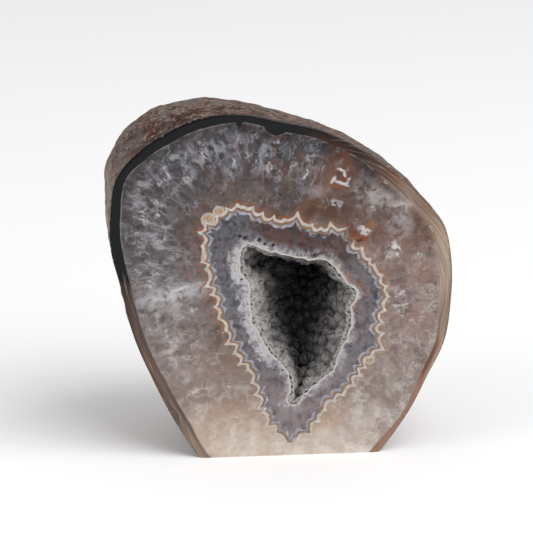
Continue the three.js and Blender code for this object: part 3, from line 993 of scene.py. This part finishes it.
def inner_zone(s, here, flow, rim_gap, x, z):
    """The grey quartz between the fortification lines and the hollow."""
    bent = s.warp(here, 5, 2)
    colour = s.ramp(s.scaled(s.noise(bent, 6), 16, z), {
        10: "8d7e7a", 24: "837473", 38: "625b5e", 58: "565358", 70: "4d4b50", 84: "39373a"})
    top = s.times(s.step(z, 60, 66), s.step(x, -15, -6))
    right = s.times(s.step(x, 8, 16), s.step(z, 34, 48))
    left = s.times(s.step(x, 0, -9), s.step(z, 74, 64))
    brown = s.patches(bent, 4.5, 0.44, 0.62, shift=14)
    colour = s.coats(
        colour,
        ("45332f", top, 0.85),
        ("552e23", top, s.patches(bent, 3.6, 0.36, 0.54, shift=4), s.step(rim_gap, 1.5, 4.5), 0.9),
        ("7c6054", brown, s.step(z, 62, 26), 0.5),
        ("67524b", right, s.patches(bent, 4, 0.4, 0.6), 0.5))
    dark = s.patches(s.warp(here, 2, 0.8), 2.9, 0.56, 0.38, shift=2)
    frost = s.ridges(s.warp(here, 2, 1.4), 2.6, 4, rough=0.55, shift=12)
    milk = s.stirred(rim_gap, s.noise(bent, 2.6, 4, rough=0.6, shift=8), 13)
    cloud = s.step(s.math("SUBTRACT", milk, s.scaled(left, 2.6, 0.1)), 1.8, -0.8)
    veins = s.ridges(s.warp(here, 1.6, 1.2), 2.3, 6, 4, rough=0.65, shift=18)
    milky = s.ramp(z, {15: "cbc7ca", 50: "cfd0d4", 66: "cbc6c6", 80: "a39899"})
    needles = s.ridges(s.warp(flow, 3, 1), 2.2, 4, stretch=(1, 1, 3.4), rough=0.6, shift=6)
    tufts = s.times(needles, s.patches(here, 4, 0.4, 0.6, 2, shift=37))
    tan = s.times(s.within(rim_gap, 0.8, 3.2, 0.9), right)
    return s.coats(
        s.shade(colour, "736d71", dark, 0.6),
        ("a09da5", frost, s.scaled(top, -0.22, 0.34)),
        (milky, cloud, s.scaled(veins, 0.85, 0.15)),
        ("bdb8be", tufts, s.step(rim_gap, 4.6, 1), s.scaled(top, 0.1, 0.6)),
        ("8c5f4a", tan, s.patches(here, 3, 0.42, 0.58, shift=17), 0.55))


def fortification(s, here, colour, inner, x, z):
    """The white, orange and bluish lines that follow each other round the hollow."""
    jitter = s.noise(here, 1.3)
    lines = s.stirred(s.mark("lines"), jitter, 0.55)
    teeth = s.stirred(s.mark("teeth"), jitter, 1.1)
    beads = s.stirred(s.mark("beads"), jitter, 0.8)
    rust = s.times(s.step(teeth, 2.4, 0.2), s.patches(here, 1.5, 0.42, 0.56, 4, rough=0.7, shift=3))
    rusty = s.ramp(z, {0: "bd9a78", 25: "a27d62", 60: "9a6440", 80: "905832", 95: "6a4636"})
    strength = s.scaled(s.step(z, 10, 40), 0.4, 0.35)
    strength = s.scaled(s.times(s.step(x, -12, -22), s.step(z, 52, 60)), 0.25, strength)
    colour = s.paint(colour, rusty, rust, strength)
    grain = s.ramp(s.noise(here, 0.5, rough=0.7), {0.35: "8c5c3a", 0.5: "b0947b", 0.65: "cdbfae"})
    ragged = s.warp(here, 1.6, 0.45)
    for pocket in POCKETS:
        out = s.reach(ragged, *pocket)
        colour = s.coats(colour, ("bdb4ab", s.inside(out, 1.2, 0.95), 0.9), (grain, s.inside(out, 0.9, 0.65)))
    bluish = s.ramp(s.noise(here, 1.6, 2, shift=2), {0.3: "80828d", 0.5: "a0a1ab", 0.7: "bcbbc1"})
    broken = s.patches(here, 3.2, 0.36, 0.48, 2, shift=13)
    orange = s.ramp(s.noise(here, 4, 2, shift=6), {0.3: "74503a", 0.5: "8f6545", 0.7: "aa8560"})
    cream = s.ramp(s.noise(here, 1.3, 2, shift=9), {0.3: "aea39a", 0.55: "c4bdb7", 0.7: "d4d0cd"})
    return s.coats(
        colour,
        (inner, s.step(lines, -0.5, -0.8)),
        (bluish, s.step(beads, -0.2, 0.2), s.step(lines, -0.75, -0.95), broken, 0.9),
        ("857a71", s.within(lines, -0.9, -0.45, 0.12), 0.75),
        (orange, s.within(lines, -0.5, -0.02, 0.14), 0.9),
        (cream, s.step(lines, -0.1, 0.14), s.step(teeth, 0.18, -0.18)))


def cracks(s, here, colour):
    """Pale and rusty cracks across the face."""
    ragged = s.warp(here, 2.2, 0.8)
    broken = s.patches(here, 2.6, 0.42, 0.6, 4, rough=0.65, shift=35)
    for x1, z1, x2, z2, half, code, strength in CRACKS:
        run = math.hypot(x2 - x1, z2 - z1)
        turn = math.degrees(math.atan2(z2 - z1, x2 - x1))
        line = s.spot(ragged, (x1 + x2) / 2, (z1 + z2) / 2, run / 2, half, turn, 0.7)
        colour = s.paint(colour, code, line, broken, strength)
    return colour


def outer_band(s, here, flow, band_gap, colour, x, z):
    """The dark band just inside the rind, which turns brown and tan round the stone."""
    side = s.math("ARCTAN2", s.math("SUBTRACT", z, BAND_MIDDLE), s.times(x, -1))
    degrees = s.times(side, 180 / math.pi)
    wavy = s.stirred(band_gap, s.noise(flow, 7), 0.8)
    for notch in NOTCHES:
        wavy = s.scaled(s.spot(s.warp(here, 1.3, 0.7), *notch, -15, 0.6), 2.3, wavy)
    body = s.ramp(degrees, {
        -180: "b29e8c", -170: "998476", -152: "a28a77", -138: "9a8371", -120: "9c8472", -60: "a38e7b",
        -52: "6a5b54", -33: "745d51", -20: "615049", -8: "574640", -0.3: "33292a", 0.3: "0a0b0e",
        40: "090a0e", 92: "0c0d10", 104: "201513", 118: "2b1c18", 128: "574038", 135: "704f3d",
        143: "8c776a", 155: "8d7564", 168: "ad9885", 180: "b29e8c"})
    brown = s.math("SUBTRACT", 1, s.within(degrees, 2, 108, 5))
    streaks = s.patches(flow, 0.7, 0.56, 0.4, stretch=(22, 22, 1), rough=0.6)
    pale = s.patches(flow, 0.8, 0.54, 0.66, stretch=(18, 18, 1), rough=0.6, shift=47)
    lower = s.times(s.step(degrees, 0.5, -3), s.step(degrees, -176, -145))
    left = s.times(s.step(degrees, -50, -36), s.step(degrees, 2, -1))
    reddish = s.times(s.step(degrees, -100, -110), s.step(degrees, -158, -155))
    body = s.coats(
        s.shade(body, "8c7368", streaks, brown, 0.35),
        ("b8a596", pale, brown, 0.35),
        ("4f4546", s.within(wavy, 0.1, 1, 0.35), lower, 0.5),
        ("43332f", s.step(wavy, 2, 3), left, 0.6),
        ("b3917c", s.step(wavy, 1.7, 2.6), reddish, 0.7),
        ("9f7761", s.within(wavy, 0.1, 1.8, 0.5), reddish, 0.85),
        ("583a2c", s.within(wavy, 0, 1.3, 0.5), s.within(degrees, -156, -142, 4), 0.75),
        ("402014", s.within(wavy, 0, 1.1, 0.5), s.within(degrees, 100, 118, 5), 0.7))
    margin = s.times(s.within(wavy, -3.2, -0.2, 1), s.within(degrees, 5, 145, 10))
    grit = s.noise(here, 1.2, rough=0.7)
    worn = s.stirred(s.mark("skin"), grit, 0.9)
    return s.coats(
        s.shade(colour, "b2aca6", margin, s.patches(here, 5, 0.35, 0.6), 0.6),
        ("b09c8c", s.within(wavy, -1, 0.3, 0.9), s.step(degrees, 128, 144), 0.45),
        ("8e8a8b", s.within(wavy, -0.42, -0.1, 0.14), s.patches(here, 3, 0.4, 0.6, shift=19), 0.6),
        (body, s.step(wavy, -0.12, 0.12)),
        ("56443b", s.step(worn, 0.72, 1), 0.75),
        ("a39a92", s.step(wavy, 2.6, 3.4), s.step(grit, 0.56, 0.64), 0.6))


def polished_face():
    """The polished front of the agate, with every zone of its growth."""
    s = Shader("polished_agate_face")
    here, x, _, z = s.here()
    flow = s.mark("flow", "Vector")
    band_gap, rim_gap = s.mark("band_gap"), s.mark("rim_gap")
    sheaves, rays, combed = needle_sheaves(s, here, x, z)
    colour = feathers(s, here, flow, band_gap, quartz(s, here, x, z), x, z, sheaves, rays, combed)
    colour = stains(s, eyes(s, here, colour), s.warp(here, 1.6, 0.55), FOLDED_LINE)
    colour = fortification(s, here, colour, inner_zone(s, here, flow, rim_gap, x, z), x, z)
    colour = stains(s, colour, combed, LATE_STAINS, s.scaled(s.step(rays, 0.25, -0.15), 0.5, 0.6))
    colour = outer_band(s, here, flow, band_gap, cracks(s, here, colour), x, z)
    jagged = s.stirred(rim_gap, s.noise(here, 1.1, 4, rough=0.65, shift=8), 2.4)
    colour = s.paint(colour, "c7c0bb", s.step(jagged, 0.8, 0.35), 0.95)
    holes = 0
    for px, pz, radius in HOLES:
        hole = s.spot(s.warp(here, 0.8, 0.5), px, pz, radius, radius * 0.8, 20, 0.5)
        holes = s.math("MAXIMUM", hole, holes)
    # Painted shade: the small holes are coloured near black for the shade inside them; the bump below also
    # sinks them.
    colour = s.paint(colour, "1d1c1f", holes, 0.95)
    height = s.scaled(holes, -1.5, s.noise(here, 2.2, 4, rough=0.6))
    rough = s.scaled(s.noise(here, 3.2, shift=31), 0.16, 0.1)
    return s.finish(colour, rough, s.bump(height, 0.05, 0.5), 0.2)


def natural_rind():
    """The rough skin of the nodule, streaked along its growth in front and stained with iron, with painted
    light on its lower left side and painted shade in small dimples.
    """
    s = Shader("agate_rind")
    here, x, y, z = s.here()
    bent = s.warp(s.mark("flow", "Vector"), 3, 1.2)
    behind = s.step(y, 15, 33)
    lined = s.noise(bent, 0.6, 4, stretch=(3.2, 3.2, 1), rough=0.75)
    plain = s.noise(s.warp(here, 5, 3), 1.5, 5, stretch=(1, 1, 1.5), rough=0.72, shift=43)
    streak = s.scaled(s.math("SUBTRACT", plain, lined), behind, lined)
    colour = s.ramp(streak, {0.34: "1f1614", 0.44: "4b342d", 0.5: "705347", 0.56: "91796c", 0.68: "cfc2b6"})
    broad = s.noise(here, 6, 4, rough=0.6, shift=4)
    colour = s.shade(colour, "ad5730", s.step(broad, 0.38, 0.52), s.step(y, 24, 8), s.step(x, 25, -25), 0.9)
    # Painted light: the lower left side of the rind is lightened in broad patches, where the key light
    # reaches it less.
    side = s.times(s.step(x, -26, -44), s.step(z, 103, 84))
    fleck = s.patches(bent, 0.5, 0.6, 0.68, stretch=(2.6, 2.6, 1), rough=0.6, shift=13)
    colour = s.coats(
        colour,
        ("75716e", s.patches(here, 5, 0.46, 0.6, 4, rough=0.6, shift=9), s.step(y, 1, 9), 0.5),
        ("b9a89c", side, s.step(broad, 0.4, 0.56), 0.7),
        ("c9c1b8", fleck, s.step(y, 30, 15), 0.8),
        ("a3978c", s.patches(here, 3, 0.54, 0.6, 5, rough=0.75, shift=45), behind, 0.5),
        ("7d5a3d", s.patches(here, 14, 0.48, 0.64, 4, rough=0.6, shift=27), s.step(y, 14, 30), 0.55))
    # Painted shade: the middles of small round dimples are darkened; the dimples are not in the bump.
    dent = s.step(s.cells(s.placed(here, 2.6, shift=6))["Distance"], 0.22, 0.5)
    colour = s.shade(colour, "5d4a42", s.scaled(dent, -0.35, 0.35))
    height = s.scaled(streak, 0.8, s.noise(here, 0.45, 4, rough=0.7))
    return s.finish(colour, s.scaled(streak, 0.25, 0.55), s.bump(height, 0.3, 0.8), 0.3)


def sawn_base():
    """The flat underside, sawn and left matt."""
    s = Shader("sawn_agate_base")
    here = s.here()[0]
    colour = s.ramp(s.noise(here, 7, 4, rough=0.6), {0.3: "8f8178", 0.5: "b3a498", 0.7: "cbbfb4"})
    marks = s.noise(here, 0.35, 2, stretch=(1, 60, 60))
    colour = s.shade(colour, "a89f98", s.step(marks, 0.55, 0.4), 0.3)
    return s.finish(colour, 0.62, s.bump(marks, 0.03, 0.6), 0.4)


def grey_crystals():
    """Grey quartz crystals, with painted light and shade: paler near the rim and on the upper left wall,
    darker deeper in the hollow, under its top rim, towards the right and low down.
    """
    s = Shader("grey_quartz_crystals")
    here, x, y, z = s.here()
    mottle = s.noise(here, 3.4, rough=0.6)
    # Painted light and shade: the colour darkens with depth into the hollow, under its top rim, towards the
    # right wall and low down, and lightens on the upper left wall, for how the light falls into the hollow.
    painted_shade = s.scaled(s.step(s.scaled(x, -0.15, z), 54, 64), 18, y)
    painted_shade = s.scaled(s.math("SUBTRACT", x, 5), 0.2, painted_shade)
    painted_shade = s.scaled(s.step(z, 44, 30), 4.5, painted_shade)
    painted_shade = s.scaled(s.times(s.step(x, -1, -11), s.step(z, 53, 60)), -9, painted_shade)
    colour = s.ramp(s.stirred(painted_shade, mottle, 19), {
        -4: "c6c2bf", 4: "afaba8", 9: "9b9795", 14: "757271", 19: "4e4b4d", 28: "37343a"})
    rough = s.scaled(mottle, 0.2, 0.35)
    return s.finish(colour, rough, s.bump(s.noise(here, 0.5), 0.04, 0.3), 0.25, 0.6)


def make_floor():
    """A wide pale floor."""
    corners = np.array([(-1, -1, 0), (1, -1, 0), (1, 1, 0), (-1, 1, 0)]) * FLOOR_HALF / MM
    pale = Shader("pale_floor").finish((0.94, 0.94, 0.94, 1), 0.9, None, 0.1)
    make_object("floor", corners, [(0, 1, 2, 3)], [0], {}, [pale])


def add_light(name, place, size, power):
    """A soft square light that faces the stone."""
    light = bpy.data.lights.new(name, "AREA")
    light.size = size
    light.energy = power
    lamp = bpy.data.objects.new(name, light)
    lamp.location = place
    lamp.rotation_euler = (Vector(LIGHT_TARGET) - Vector(place)).to_track_quat("-Z", "Y").to_euler()
    bpy.context.collection.objects.link(lamp)


def make_lights():
    """A broad key light from above and in front, a weaker one beside it, and even light all round."""
    add_light("key", **KEY)
    add_light("side", **SIDE)
    world = bpy.data.worlds.new("studio")
    world.use_nodes = True
    background = world.node_tree.nodes["Background"]
    background.inputs["Color"].default_value = (1, 1, 1, 1)
    background.inputs["Strength"].default_value = ROUND_LIGHT
    bpy.context.scene.world = world


def make_camera():
    """The camera at the photograph's viewing angle."""
    turn, rise = math.radians(VIEW_AZIMUTH), math.radians(VIEW_ELEVATION)
    back = Vector((math.sin(turn) * math.cos(rise), -math.cos(turn) * math.cos(rise), math.sin(rise)))
    camera = bpy.data.cameras.new("camera")
    camera.lens = LENS
    camera.sensor_width = SENSOR
    camera.clip_start = 0.01
    eye = bpy.data.objects.new("camera", camera)
    eye.location = Vector((VIEW_MIDDLE + PLACE) * MM) + back * VIEW_DISTANCE
    eye.rotation_euler = (-back).to_track_quat("-Z", "Y").to_euler()
    bpy.context.collection.objects.link(eye)
    bpy.context.scene.camera = eye


face_finish = polished_face()
make_stone([face_finish, natural_rind(), sawn_base()])
make_crust([grey_crystals(), face_finish])
make_floor()
make_lights()
make_camera()
bpy.context.scene.view_settings.view_transform = "Standard"
